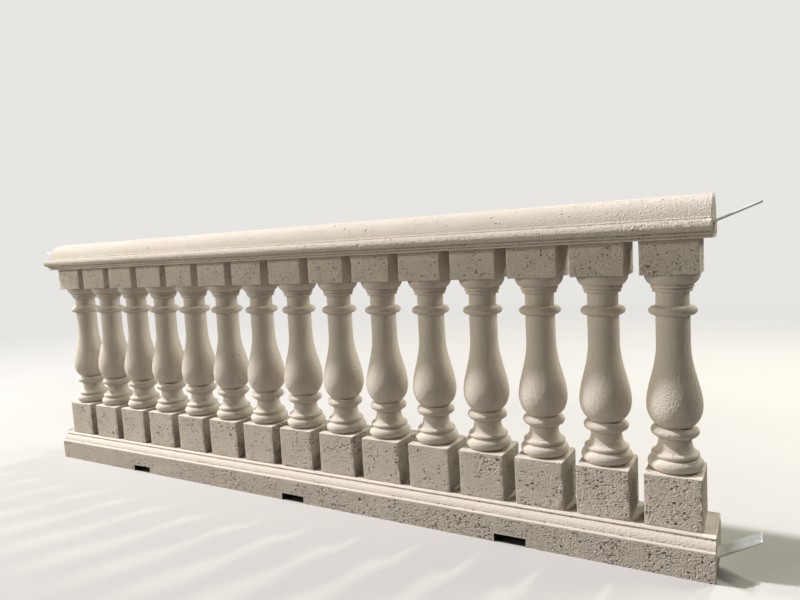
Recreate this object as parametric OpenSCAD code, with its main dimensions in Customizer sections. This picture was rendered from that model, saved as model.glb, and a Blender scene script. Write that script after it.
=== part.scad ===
// Straight run of stone balustrade: moulded bottom rail, fifteen turned balusters
// with square end blocks, and a round-topped cap rail with a bullnose on each side.
// Millimetres, +Z up, X along the run, Y through its thickness.
// The origin is on the floor, under the middle of the run.

/* [Run] */
// Distance between the axes of neighbouring balusters
baluster_pitch = 190.5; // [175:0.5:260]
// How far each rail runs on past the block of the end baluster
rail_overrun = 31.8; // [10:0.2:80]

/* [Baluster blocks] */
// Side of the square blocks, both ends alike
block_side = 152.4; // [151:0.2:165]
// Radius of the eased upright arrises of the blocks
block_arris = 4; // [1:0.5:12]
// Height of the lower block
low_block_h = 142; // [100:1:200]
// Height of the upper block
top_block_h = 94.5; // [60:0.5:140]

/* [Baluster foot] */
// Greatest radius of the half-round that lies on the lower block
torus_r = 74.6; // [64:0.2:75]
// Height of that half-round
torus_h = 38; // [20:1:50]
// Radius of the flat band above it
band_r = 66; // [58:0.5:72]
// Height of the flat band
band_h = 12; // [6:0.5:20]
// Depth of the groove between the half-round and the band
band_groove = 2.5; // [1:0.1:4]
// Radius of the waist above the hollow
waist_r = 46; // [34:0.5:50]
// Height of the hollow between band and waist
hollow_h = 40; // [25:1:60]
// Height of the plain waist
waist_h = 4; // [2:0.5:15]
// Greatest radius of the ring under the belly
ring_r = 64.7; // [56:0.1:72]
// Height of the ring under the belly
ring_h = 35; // [20:1:40]

/* [Baluster belly and shaft] */
// Greatest radius of the belly
belly_r = 74.6; // [66:0.2:75.4]
// Radius at the underside of the belly, where it meets the ring
belly_foot_r = 49; // [42:0.5:55]
// Radius at which the curve of the belly's underside is centred
belly_core_r = 30; // [24:0.5:40]
// Height from the underside of the belly up to its widest place
belly_low_h = 62; // [40:1:90]
// Height from the widest place up to the plain shaft
belly_up_h = 177; // [120:1:230]
// Radius of the plain shaft
shaft_r = 45.6; // [34:0.2:52]
// Height of the plain shaft
shaft_h = 77; // [40:1:120]

/* [Baluster head] */
// Greatest radius of the upper ring
astragal_r = 63.6; // [56:0.1:72]
// Height of the upper ring
astragal_h = 35; // [20:1:40]
// Radius of the neck above the upper ring
neck_r = 44.4; // [34:0.2:50]
// Height of the neck
neck_h = 36; // [20:1:60]
// Radius of the lower flat collar
collar_low_r = 52; // [50:0.5:55]
// Height of the lower flat collar
collar_low_h = 9; // [4:0.5:14]
// Radius of the upper flat collar
collar_top_r = 57.5; // [55.5:0.5:60]
// Height of the upper flat collar
collar_top_h = 8; // [4:0.5:14]
// Radius of the swelling head at its foot
echinus_foot_r = 60.5; // [60:0.5:66]
// Radius of the swelling head under the block
echinus_r = 75.4; // [68:0.2:75.4]
// Height of the swelling head
echinus_h = 31.5; // [20:0.5:45]
// How far the swelling head bulges out of a straight line
echinus_bulge = 3; // [1:0.1:5]

/* [Bottom rail] */
// Height of the bottom rail
base_h = 120; // [100:1:180]
// How far the plinth face stands out past the blocks, each side
base_out = 40; // [39:0.5:60]
// How far the rounded top roll stands out past the blocks, each side
base_roll_out = 13.5; // [9:0.1:15]
// Height of the rounded top roll
base_roll_h = 9; // [8:0.2:12]
// Radius of the roll's top edge
base_roll_r = 4.5; // [2:0.1:6]
// Depth of the groove under the roll
base_groove = 1.5; // [0.5:0.1:3]
// Outward run of the convex slope under the roll
base_slope_out = 22; // [14:0.5:22]
// Drop of the convex slope under the roll
base_slope_h = 20; // [14:0.5:30]
// How far the middle of the slope bulges out of a straight line
base_slope_bulge = 3; // [1:0.1:5]
// Radius of the top arris of the plinth
base_arris = 3; // [1:0.1:4.4]

/* [Slots through the foot of the bottom rail] */
// Length of each slot along the run
slot_w = 101.6; // [60:0.2:160]
// Height of each slot
slot_h = 25.4; // [12:0.2:40]
// Distance between the middles of neighbouring slots
slot_pitch = 865; // [500:5:1200]

/* [Cap rail] */
// Height of the cap rail
cap_h = 119; // [95:1:150]
// How far the lower flat band stands out past the blocks, each side
cap_band_out = 20; // [10:0.5:25]
// Height of the lower flat band
cap_band_h = 7; // [4:0.5:12]
// How far the upper flat band stands out past the blocks, each side
cap_fillet_out = 29; // [26:0.5:30.5]
// Height of the upper flat band
cap_fillet_h = 7.7; // [4:0.1:12]
// Radius of the bullnose
cap_nose_r = 18.3; // [12:0.1:22]
// How far the centre of the bullnose stands out past the blocks
cap_nose_out = 31; // [31:0.5:40]
// How far the ledge over the bullnose stands out past the blocks
cap_ledge_out = 22; // [18:0.5:26]
// Height of the ledge over the bullnose
cap_ledge_h = 5.7; // [3:0.1:10]
// How far the foot of the round top stands out past the blocks
cap_crown_out = 16.3; // [8:0.1:17.5]

/* [Fixing straps] */
// Width of each flat steel strap
strap_w = 68; // [30:1:120]
// Thickness of each strap
strap_t = 5; // [3:0.5:8]
// Length of each strap past the rail end, along the strap
strap_len = 124; // [60:1:200]
// Length of each strap at the cap rail, along the strap
strap_top_len = 122; // [60:1:200]
// Height of the lower straps where they leave the bottom rail
strap_low_z = 38; // [15:1:80]
// Height of the upper straps above the underside of the cap rail
strap_top_z = 43; // [15:1:80]
// Upward bend of the lower straps, in degrees
strap_low_tilt = 30.5; // [0:0.5:40]
// Upward bend of the upper straps, in degrees
strap_top_tilt = 21.5; // [0:0.5:40]
// Radius of the strap's outer corners
strap_corner = 3; // [1:0.5:10]

/* [Hidden] */

baluster_count = 15;
slot_count = 3;
half_block = block_side / 2;
run_half = (baluster_count - 1) / 2 * baluster_pitch;
rail_len = 2 * (run_half + half_block + rail_overrun);

// heights of the baluster's mouldings, each measured from the foot of its lower block
z_torus = low_block_h;
z_band = z_torus + torus_h;
z_hollow = z_band + band_h;
z_waist = z_hollow + hollow_h;
z_ring = z_waist + waist_h;
z_belly = z_ring + ring_h;
z_wide = z_belly + belly_low_h;
z_shaft = z_wide + belly_up_h;
z_astragal = z_shaft + shaft_h;
z_neck = z_astragal + astragal_h;
z_collar_low = z_neck + neck_h;
z_collar_top = z_collar_low + collar_low_h;
z_echinus = z_collar_top + collar_top_h;
z_block = z_echinus + echinus_h;
baluster_h = z_block + top_block_h;

cap_z = base_h + baluster_h;
cap_nose_z = cap_band_h + cap_fillet_h + cap_nose_r;
cap_crown_z = cap_nose_z + cap_nose_r + cap_ledge_h;
overlap = 10;
sweep_ease = 0.88;

stone = [0.90, 0.87, 0.82];
steel = [0.66, 0.67, 0.66];

// points of an arc round (cx, cy), from angle a to angle b, with radii rx and ry
function arc(cx, cy, rx, ry, a, b, n) =
    [for (i = [0:n]) let (t = a + (b - a) * i / n) [cx + rx * cos(t), cy + ry * sin(t)]];

// points of a half-round moulding that swells from radius r to r_max between z and z + h
function half_round(r, r_max, z, h, n) =
    arc(r, z + h / 2, r_max - r, h / 2, -90, 90, n);

// points of an arc from p to q that bulges by s out of the straight line, to its right
function bowed(p, q, s, n) =
    let (d = q - p, c = norm(d), u = [d[1], -d[0]] / c)
    [for (i = [0:n]) let (t = i / n) p + d * t + u * (4 * s * t * (1 - t))];

// the belly's upper sweep, from the widest place to the shaft, as an S-shaped curve
function belly_sweep(n) =
    [for (i = [1:n]) let (t = i / n)
        [shaft_r + (belly_r - shaft_r) * (1 + cos(180 * pow(t, sweep_ease))) / 2,
         z_wide + belly_up_h * t]];

// the belly's underside, part of an upright ellipse that ends on the foot radius
belly_ease = acos((belly_foot_r - belly_core_r) / (belly_r - belly_core_r));
function belly_under(n) =
    arc(belly_core_r, z_wide, belly_r - belly_core_r, belly_low_h / sin(belly_ease),
        -belly_ease, 0, n);

// the half-round on the lower block, up to the foot of the groove over it
torus_core_r = torus_r - torus_h / 2;
torus_end = acos((band_r - band_groove - torus_core_r) / (torus_r - torus_core_r));
torus_rise = (torus_h - band_groove) / 2;
function torus_side(n) =
    arc(torus_core_r, z_torus + torus_rise, torus_r - torus_core_r, torus_rise, -90, torus_end, n);

// half outline of the turned part, radius against height
function turned_outline() = concat(
    [[0, z_torus - overlap], [torus_core_r, z_torus - overlap]],
    torus_side(14),
    [[band_r - band_groove, z_band], [band_r, z_band]],
    arc(band_r, z_waist, band_r - waist_r, hollow_h, 270, 180, 12),
    half_round(ring_r - ring_h / 2, ring_r, z_ring, ring_h, 14),
    belly_under(12),
    belly_sweep(20),
    half_round(astragal_r - astragal_h / 2, astragal_r, z_astragal, astragal_h, 14),
    [[neck_r, z_neck], [neck_r, z_collar_low]],
    [[collar_low_r, z_collar_low], [collar_low_r, z_collar_top]],
    [[collar_top_r, z_collar_top], [collar_top_r, z_echinus]],
    bowed([echinus_foot_r, z_echinus], [echinus_r, z_block], echinus_bulge, 8),
    [[echinus_r, z_block + overlap], [0, z_block + overlap]]);

// square outline of a block with eased corners
function block_outline() = let (c = half_block - block_arris) [
    each arc(c, c, block_arris, block_arris, 0, 90, 4),
    each arc(-c, c, block_arris, block_arris, 90, 180, 4),
    each arc(-c, -c, block_arris, block_arris, 180, 270, 4),
    each arc(c, -c, block_arris, block_arris, 270, 360, 4)];

// one baluster on its own axis, with the foot of its lower block at height 0
module baluster() {
    linear_extrude(low_block_h) polygon(block_outline());
    translate([0, 0, z_block]) linear_extrude(top_block_h) polygon(block_outline());
    rotate_extrude($fn = 96) polygon(turned_outline());
}

// baluster number n, counted from the left end of the run
module baluster_at(n) {
    color(stone)
    translate([(n - 1) * baluster_pitch - run_half, 0, base_h]) baluster();
}

// front half of the bottom rail's section: distance from its middle against height
function base_side() = let (
    roll = half_block + base_roll_out,
    z_roll = base_h - base_roll_h,
    slope = [roll + base_slope_out, z_roll - base_groove - base_slope_h],
    face = half_block + base_out) concat(
    [[face, 0]],
    arc(face - base_arris, slope[1] - base_arris, base_arris, base_arris, 0, 90, 4),
    [slope],
    bowed(slope, [roll - base_groove, z_roll - base_groove], base_slope_bulge, 8),
    [[roll - base_groove, z_roll]],
    [[roll, z_roll]],
    arc(roll - base_roll_r, base_h - base_roll_r, base_roll_r, base_roll_r, 0, 90, 5));

// front half of the cap rail's section: distance from its middle against height
function cap_side() = let (
    nose = half_block + cap_nose_out,
    crown = half_block + cap_crown_out,
    z_fillet = cap_band_h + cap_fillet_h,
    z_ledge = cap_nose_z + cap_nose_r) concat(
    [[half_block + cap_band_out, 0], [half_block + cap_band_out, cap_band_h]],
    [[half_block + cap_fillet_out, cap_band_h], [half_block + cap_fillet_out, z_fillet]],
    arc(nose, cap_nose_z, cap_nose_r, cap_nose_r, -90, 90, 16),
    [[half_block + cap_ledge_out, z_ledge], [half_block + cap_ledge_out, cap_crown_z]],
    arc(0, cap_crown_z, crown, cap_h - cap_crown_z, 0, 90, 18));

// a rail along the run, from the front half of its section
module rail(side) {
    back = [for (i = [len(side) - 1:-1:0]) if (side[i][0] > 0.01) [-side[i][0], side[i][1]]];
    rotate([90, 0, 90]) linear_extrude(rail_len, center = true) polygon(concat(side, back));
}

// moulded bottom rail, with the slots through its foot
module bottom_rail() {
    color(stone)
    difference() {
        rail(base_side());
        for (i = [0:slot_count - 1])
            translate([(i - (slot_count - 1) / 2) * slot_pitch - slot_w / 2, -half_block - 2 * base_out, -1])
                cube([slot_w, 2 * half_block + 4 * base_out, slot_h + 1]);
    }
}

// round-topped cap rail, which lies on the upper blocks
module cap_rail() {
    color(stone)
    translate([0, 0, cap_z]) rail(cap_side());
}

// flat strap that leaves the right-hand rail end at height z and bends up by tilt
module strap(z, tilt, length) {
    run = [length * cos(tilt), length * sin(tilt)];
    rise = [0, strap_t / 2 / cos(tilt)];
    across = [-sin(tilt), cos(tilt)] * strap_t / 2;
    color(steel)
    translate([rail_len / 2, 0, z])
    intersection() {
        rotate([90, 0, 0]) linear_extrude(strap_w, center = true)
            polygon([-rise, run - across, run + across, rise]);
        rotate([0, -tilt, 0]) linear_extrude(4 * strap_t, center = true)
            polygon(strap_plan(length));
    }
}

// plan of a strap, with its two outer corners rounded
function strap_plan(length) = let (c = strap_w / 2 - strap_corner, e = length - strap_corner) concat(
    [[-4 * strap_t, -strap_w / 2]],
    arc(e, -c, strap_corner, strap_corner, -90, 0, 4),
    arc(e, c, strap_corner, strap_corner, 0, 90, 4),
    [[-4 * strap_t, strap_w / 2]]);

module low_strap_right() { strap(strap_low_z, strap_low_tilt, strap_len); }
module low_strap_left() { mirror([1, 0, 0]) low_strap_right(); }
module top_strap_right() { strap(cap_z + strap_top_z, strap_top_tilt, strap_top_len); }
module top_strap_left() { mirror([1, 0, 0]) top_strap_right(); }

bottom_rail();
cap_rail();
baluster_at(1);  // baluster_01
baluster_at(2);  // baluster_02
baluster_at(3);  // baluster_03
baluster_at(4);  // baluster_04
baluster_at(5);  // baluster_05
baluster_at(6);  // baluster_06
baluster_at(7);  // baluster_07
baluster_at(8);  // baluster_08
baluster_at(9);  // baluster_09
baluster_at(10);  // baluster_10
baluster_at(11);  // baluster_11
baluster_at(12);  // baluster_12
baluster_at(13);  // baluster_13
baluster_at(14);  // baluster_14
baluster_at(15);  // baluster_15
low_strap_left();
low_strap_right();
top_strap_left();
top_strap_right();
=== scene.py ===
"""Looks of a straight run of cast stone balustrade: worn, pitted rails and turned balusters,
galvanised straps, camera and lights. Sizes are in millimetres, as in the part's source, until
each mesh is written in metres."""

import math

import bpy
import numpy as np
from mathutils import Matrix, Vector
from mathutils.geometry import delaunay_2d_cdt


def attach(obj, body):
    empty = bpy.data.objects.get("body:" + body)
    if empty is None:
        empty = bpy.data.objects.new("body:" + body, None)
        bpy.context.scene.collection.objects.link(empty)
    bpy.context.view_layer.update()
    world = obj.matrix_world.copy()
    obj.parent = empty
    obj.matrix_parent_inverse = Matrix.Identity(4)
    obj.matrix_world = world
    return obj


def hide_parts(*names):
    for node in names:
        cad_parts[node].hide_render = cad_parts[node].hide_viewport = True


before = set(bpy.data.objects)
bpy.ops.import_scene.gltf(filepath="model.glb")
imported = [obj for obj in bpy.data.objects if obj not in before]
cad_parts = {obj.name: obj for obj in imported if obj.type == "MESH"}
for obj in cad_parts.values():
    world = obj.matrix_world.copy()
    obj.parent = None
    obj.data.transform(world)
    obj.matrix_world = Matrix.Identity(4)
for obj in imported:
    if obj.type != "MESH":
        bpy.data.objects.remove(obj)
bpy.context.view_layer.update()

# the run: distance between balusters, their number, half a block's side, and the rails' end
PITCH, COUNT, HALF = 190.5, 15, 76.2
RUN_HALF = (COUNT - 1) / 2 * PITCH
END = RUN_HALF + HALF + 31.8
# heights: the bottom rail as in the part's source and as it shows, and the cap rail
BASE_H, SEAT, CAP_Z, CAP_H = 120.0, 118.2, 921.0, 119
# the baluster's height, and from its foot the top of the low block and the underside of the upper
# one, then how far its arrises are rounded
BALUSTER_H, LOW_BLOCK, BLOCK_Z = 801.0, 149.0, 706.5
ARRIS, FOOT_ARRIS, TOP_ARRIS, TIGHT_ARRIS, SHARP_ARRIS = 2.2, 1.2, 3.5, 1.0, 0.4
# radii on the low block's bed, at the torus's foot, and where the echinus meets the upper block
BED_R, TORUS_R, ECHINUS_R = 60, 55.6, 74.0
# the rails' outermost faces, the slots as (middle, half width), and their height
FACE = HALF + 40
SLOTS = [(-865.0, 50.8), (0.0, 50.8), (865.0, 50.8)]
SLOT_H = 25.4
# rows of points this far from a corner keep its shading off the flat beside it
LIP = 1.4


def in_scene(name, data):
    """A new object in the scene."""
    ob = bpy.data.objects.new(name, data)
    bpy.context.scene.collection.objects.link(ob)
    return ob


def arc(cx, cy, rx, ry, a, b, n):
    t = np.radians(np.linspace(a, b, n + 1))
    return [np.array(p) for p in zip(cx + rx * np.cos(t), cy + ry * np.sin(t))]


def bowed(p, q, s, n):
    p, q = np.array(p, float), np.array(q, float)
    d = q - p
    u = np.array([d[1], -d[0]]) / np.hypot(*d)
    return [p + d * t + u * (4 * s * t * (1 - t)) for t in np.linspace(0, 1, n + 1)]


def points(*pairs):
    return [np.array(p, float) for p in pairs]


def eased(line, radius, steps=3, least=20.0):
    """An open outline with each corner that turns by more than least degrees rounded."""
    out = [line[0]]
    for a, b, c in zip(line, line[1:], line[2:]):
        u, v = b - a, c - b
        lu, lv = np.hypot(*u), np.hypot(*v)
        turn = math.acos(max(-1.0, min(1.0, float(u @ v) / (lu * lv))))
        if math.degrees(turn) < least:
            out.append(b)
            continue
        d = min(radius * math.tan(turn / 2), 0.42 * lu, 0.42 * lv)
        p, q = b - u / lu * d, b + v / lv * d
        for t in np.linspace(0, 1, steps + 1):
            out.append((1 - t) ** 2 * p + 2 * t * (1 - t) * b + t * t * q)
    out.append(line[-1])
    return out


def filled(line, step, least=8.0):
    """An outline with points added where two neighbours are further apart than step, and close to
    each corner of a long stretch."""
    heads = [math.atan2(*(b - a)[::-1]) for a, b in zip(line, line[1:])]
    turns = [0.0] + [abs(math.remainder(v - u, 2 * math.pi)) for u, v in zip(heads, heads[1:])] + [0.0]
    out = [line[0]]
    for k, (a, b) in enumerate(zip(line, line[1:])):
        length = float(np.hypot(*(b - a)))
        n = max(1, math.ceil(length / step - 0.01))
        shares = [j / n for j in range(1, n + 1)]
        if length > 4 * LIP:
            shares += [LIP / length] * (turns[k] > math.radians(least))
            shares += [1 - LIP / length] * (turns[k + 1] > math.radians(least))
        out += [a + (b - a) * t for t in sorted(shares)]
    return out


class Waves:
    """A smooth field in space made of seeded sine waves, from -1 to 1 or so."""

    def __init__(self, rng, length, count=7):
        k = rng.normal(size=(count, 3))
        k /= np.linalg.norm(k, axis=1)[:, None]
        self.k = k * (2 * math.pi / (length * rng.uniform(0.7, 1.5, (count, 1))))
        self.phase = rng.uniform(0, 2 * math.pi, count)
        self.share = math.sqrt(2.0 / count)

    def __call__(self, p):
        return np.sin(p @ self.k.T + self.phase).sum(1) * self.share


def lerp_table(s, table, x):
    """Rows of table, which stand at positions s, read at x."""
    i = np.clip(np.searchsorted(s, x, side="right") - 1, 0, len(s) - 2)
    f = ((x - s[i]) / (s[i + 1] - s[i]))[:, None]
    return table[i] * (1 - f) + table[i + 1] * f


class Sheet:
    """A surface over a flat chart (u, s). place(u, s) gives its points in space."""

    def __init__(self, place, reach=0.5):
        self.place, self.reach = place, reach

    def frame(self, u, s):
        """Point, the two chart directions in space, and the outward normal."""
        e = self.reach
        du = (self.place(u + e, s) - self.place(u - e, s)) / (2 * e)
        ds = (self.place(u, s + e) - self.place(u, s - e)) / (2 * e)
        n = np.cross(du, ds)
        n /= np.maximum(np.linalg.norm(n, axis=1), 1e-9)[:, None]
        return self.place(u, s), du, ds, n


def hollow_rings(a, b, turn, depth, rng):
    """Rings of one pit with half axes a and b, in its own plane: (x, y, depth, shade) rows, rim first."""
    big = a > 2.7
    n = int(rng.integers(10, 13)) if big else 8
    k = slice(0, n, 2)
    m = (n + 1) // 2
    t = (np.arange(n) + rng.uniform(-0.2, 0.2, n)) / n * 2 * math.pi
    w = 1 + 0.17 * np.sin(2 * t + rng.uniform(0, 6.3)) + 0.13 * np.sin(3 * t + rng.uniform(0, 6.3))
    w *= 1 + rng.normal(0, 0.05, n)
    x, y = a * np.cos(t) * w, b * np.sin(t) * w
    lean = rng.normal(0, 0.10, 2) * b
    rows = [np.stack([x, y, np.zeros(n), np.zeros(n)], 1)]
    if big:
        rows.append(np.stack([x * 0.78, y * 0.78, np.full(n, 0.52 * depth), np.full(n, 0.30)], 1))
        floor_at = [x[k] * 0.45 + lean[0], y[k] * 0.45 + lean[1]]
        rows.append(np.stack([*floor_at, depth * rng.uniform(0.85, 1.0, m), np.full(m, 0.95)], 1))
    else:
        rows.append(np.stack([x[k] * 0.62, y[k] * 0.62, np.full(m, 0.75 * depth), np.full(m, 0.55)], 1))
    rows.append(np.array([[lean[0], lean[1], depth, 1.0]]))
    rows = np.concatenate(rows)
    c, d = math.cos(turn), math.sin(turn)
    rows[:, :2] = np.stack([rows[:, 0] * c - rows[:, 1] * d, rows[:, 0] * d + rows[:, 1] * c], 1)
    return rows


class Pits:
    """Pits set at random on a sheet, none on another, as chart places, rings and reach."""

    MARGIN, DEEPEST = 0.7, 5.5

    def __init__(self, sheet, rng):
        self.sheet, self.rng = sheet, rng
        self.at, self.size = np.zeros((0, 3)), np.zeros(0)
        self.rings, self.hole = [], []

    def scatter(self, n, u_range, s_range, size, spread, most, flat=(0.5, 0.9), deep=(0.7, 1.25),
                turn=None, field=None, allow=None, least=1.2):
        """At most n pits with a half axis of about size, thicker where field is high, and only where
        allow lets them."""
        rng = self.rng
        tries = n * 4
        u = rng.uniform(*u_range, tries)
        s = rng.uniform(*s_range, tries)
        p, du, ds, nn = self.sheet.frame(u, s)
        keep = np.ones(tries, bool)
        if field is not None:
            keep &= field(p) > rng.uniform(-1.1, 1.1, tries)
        a = np.clip(np.exp(rng.normal(math.log(size), spread, tries)), least, most)
        if allow is not None:
            keep &= allow(u, s, a * 1.3)
        done = 0
        for i in np.flatnonzero(keep):
            if done >= n:
                break
            r = a[i] * 1.25 + self.MARGIN
            if len(self.at):
                gap = np.linalg.norm(self.at - p[i], axis=1) - self.size - r
                if gap.min() < 0:
                    continue
            b = a[i] * rng.uniform(*flat)
            depth = min(b * rng.uniform(*deep), self.DEEPEST)
            angle = rng.uniform(0, math.pi) if turn is None else turn + rng.normal(0, 0.25)
            rows = hollow_rings(a[i], b, angle, depth, rng)
            t1 = du[i] / np.linalg.norm(du[i])
            t2 = np.cross(nn[i], t1)
            jac = np.array([[du[i] @ t1, ds[i] @ t1], [du[i] @ t2, ds[i] @ t2]])
            inv = np.linalg.inv(jac)
            self.at = np.vstack([self.at, p[i]])
            self.size = np.append(self.size, r)
            off = rows[:, :2] @ inv.T
            self.rings.append(np.column_stack([u[i] + off[:, 0], s[i] + off[:, 1], rows[:, 2:]]))
            c, d = math.cos(angle), math.sin(angle)
            long, short = a[i] * 1.28 + 0.9, b * 1.28 + 0.9
            grow = np.array([[c / long, d / long], [-d / short, c / short]])
            self.hole.append((u[i], s[i], grow @ jac))
            done += 1

    def clear(self, uv):
        """Which chart places lie outside every pit and its margin."""
        keep = np.ones(len(uv), bool)
        for u, s, m in self.hole:
            q = (uv - (u, s)) @ m.T
            keep &= (q**2).sum(1) > 1
        return keep


def row_links(first, end):
    """Links between each grid point and the next, from first to the one before end."""
    k = np.arange(first, end - 1)
    return np.stack([k, k + 1], 1)


def held(uv, keep, links, pits):
    """Links between neighbouring grid points that the triangles must follow, less those at a dropped
    point or across a pit."""
    links = links[keep[links].all(1)]
    a, b = uv[links[:, 0]], uv[links[:, 1]]
    mid, half = (a + b) / 2, np.abs(b - a) / 2 + 10
    ok = np.ones(len(links), bool)
    for u, s, m in pits.hole:
        near = (np.abs(mid[:, 1] - s) < half[:, 1]) & (np.abs(mid[:, 0] - u) < half[:, 0])
        near = np.flatnonzero(near & ok)
        if len(near):
            p, q = (a[near] - (u, s)) @ m.T, (b[near] - (u, s)) @ m.T
            d = q - p
            t = np.clip(-(p * d).sum(1) / (d * d).sum(1), 0, 1)[:, None]
            ok[near[((p + t * d) ** 2).sum(1) < 1.05]] = False
    return (np.cumsum(keep) - 1)[links[ok]].tolist()


def triangulate(uv, edges):
    """Triangles over chart points, along the given edges, less slivers."""
    r = delaunay_2d_cdt([Vector(p) for p in uv.tolist()], list(edges), [], 0, 1e-7)
    faces = np.array(r[2], int)
    back = np.array([o[0] if o else -1 for o in r[3]], int)
    faces = back[faces]
    faces = faces[(faces >= 0).all(1)]
    a, b, c = uv[faces[:, 0]], uv[faces[:, 1]], uv[faces[:, 2]]
    area = (b[:, 0] - a[:, 0]) * (c[:, 1] - a[:, 1]) - (b[:, 1] - a[:, 1]) * (c[:, 0] - a[:, 0])
    return faces[area > 1e-6]


class Builder:
    """Gathers the patches of one piece and writes its mesh."""

    LAYERS = ("hollow", "coarse", "edge", "seam")

    def __init__(self, name):
        self.name, self.n = name, 0
        self.v, self.f, self.uv, self.worn = [], [], [], []

    def add(self, co, faces, uv, hollow, coarse, edge, seam=0.0):
        """uv is given for each corner of each face, and the layers for each point or as one value."""
        self.v.append(co)
        self.f.append(faces + self.n)
        self.uv.append(uv)
        self.worn.append(np.stack([np.broadcast_to(w, len(co)) for w in (hollow, coarse, edge, seam)], 1))
        self.n += len(co)

    def write(self, sharp=38.0):
        co, faces, uv, worn = (np.vstack(k) for k in (self.v, self.f, self.uv, self.worn))
        _, first, inverse = np.unique(np.round(co, 3), axis=0, return_index=True, return_inverse=True)
        inverse = inverse.reshape(-1)
        faces = inverse[faces]
        good = (faces[:, 0] != faces[:, 1]) & (faces[:, 1] != faces[:, 2]) & (faces[:, 2] != faces[:, 0])
        faces, uv = faces[good], uv[good]
        co = co[first] * 0.001
        me = bpy.data.meshes.new(self.name)
        me.vertices.add(len(co))
        me.vertices.foreach_set("co", co.ravel())
        me.loops.add(faces.size)
        me.loops.foreach_set("vertex_index", faces.ravel())
        me.polygons.add(len(faces))
        me.polygons.foreach_set("loop_start", np.arange(0, faces.size, 3))
        me.polygons.foreach_set("use_smooth", np.ones(len(faces), bool))
        me.update(calc_edges=True)
        for name, values in zip(self.LAYERS, worn[first].T):
            layer = me.attributes.new(name, "FLOAT", "POINT")
            layer.data.foreach_set("value", np.ascontiguousarray(values, dtype=np.float32))
        chart = me.uv_layers.new(name="OFBake")
        chart.data.foreach_set("uv", uv.reshape(-1).astype(np.float32))
        me.validate()
        me.set_sharp_from_angle(angle=math.radians(sharp))
        return in_scene(self.name, me)


def fan(count, flip):
    """Triangles from a ring of so many points to the point that follows them."""
    k = np.arange(count)
    tri = np.stack([k, np.roll(k, -1), np.full(count, count)], 1)
    return tri[:, ::-1] if flip else tri


def bends(line):
    """How far an outline turns at each point between its first and last."""
    seg = np.diff(line, axis=0)
    return np.abs(np.diff(np.unwrap(np.arctan2(seg[:, 1], seg[:, 0]))))


# a block's girth, and the share of a quarter of it from the middle of a side to its arris
GIRTH = 8 * (HALF - ARRIS) + 2 * math.pi * ARRIS
FLAT_SHARE = (HALF - ARRIS) / (GIRTH / 4)


def square_ring(p, half, corner):
    """Points on a square with eased corners, at shares p of the way round from the middle of its back."""
    q = (p % 1.0) * 4
    side = np.floor(q).astype(int) % 4
    f = q - np.floor(q)
    reach = half - corner
    x = np.where(f < FLAT_SHARE, half, np.where(f > 1 - FLAT_SHARE, (1 - f) / FLAT_SHARE * reach, 0))
    y = np.where(f < FLAT_SHARE, f / FLAT_SHARE * reach, np.where(f > 1 - FLAT_SHARE, half, 0))
    mid = (f >= FLAT_SHARE) & (f <= 1 - FLAT_SHARE)
    a = (f - FLAT_SHARE) / (1 - 2 * FLAT_SHARE) * math.pi / 2
    x = np.where(mid, reach + corner * np.cos(a), x)
    y = np.where(mid, reach + corner * np.sin(a), y)
    t = (side + 1) * math.pi / 2
    return x * np.cos(t) - y * np.sin(t), x * np.sin(t) + y * np.cos(t)


def outline_of(rows):
    """The stations' outline, as (half width, height)."""
    return np.column_stack([(1 - rows[:, 3]) * rows[:, 0] + rows[:, 3] * rows[:, 1], rows[:, 2]])


def turned_line():
    """Outline of the turned part as (radius, height), from the low block up to the upper one."""
    z_waist, z_ring, z_wide, z_collar = 236.5, 258.7, 336.0, 603.7
    ring_h, neck_r, swell_r = 14.7, 45.6, 29.6
    ease = math.acos(14.5 / 45.2)
    # torus, groove, scotia and fillet
    line = arc(TORUS_R, LOW_BLOCK + 18.2, 19, 18.2, -90, 75, 14)
    line += points((60.3, 187.6)) + arc(60.2, 193.2, 4.6, 5.4, -90, 62, 6)
    line += arc(62.6, z_waist, 18.1, 37.8, 270, 180, 10)
    line += points((44.5, 239), (48.2, 239.2), (48.0, 243.6), (46.8, 244))
    # ring, belly, tapering shaft and collar
    line += arc(46.5, z_ring, 18.4, ring_h, -90, 90, 13)
    line += arc(30, z_wide, 45.2, (z_wide - z_ring - ring_h) / math.sin(ease), -math.degrees(ease), 0, 9)
    for t in np.linspace(0, 1, 19)[1:]:
        line.append(np.array([neck_r + swell_r * (1 + math.cos(math.pi * t**0.88)) / 2, z_wide + 174 * t]))
    line += arc(neck_r, z_collar, 18.8, 13.7, -90, 90, 13)
    # neck, two rolls and echinus
    line += points((44.4, 617.6), (44.4, 656.5), (52.0, 656.8), (53.4, 661.6), (52.2, 666.2), (51.0, 667.0))
    line += points((56.0, 667.6), (57.2, 672.5), (55.8, 677.2), (58.8, 678.2))
    line += bowed((58.8, 678.2), (ECHINUS_R, BLOCK_Z), 3.5, 6)[1:]
    return filled(eased(line, 1.0), 12)


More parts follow.
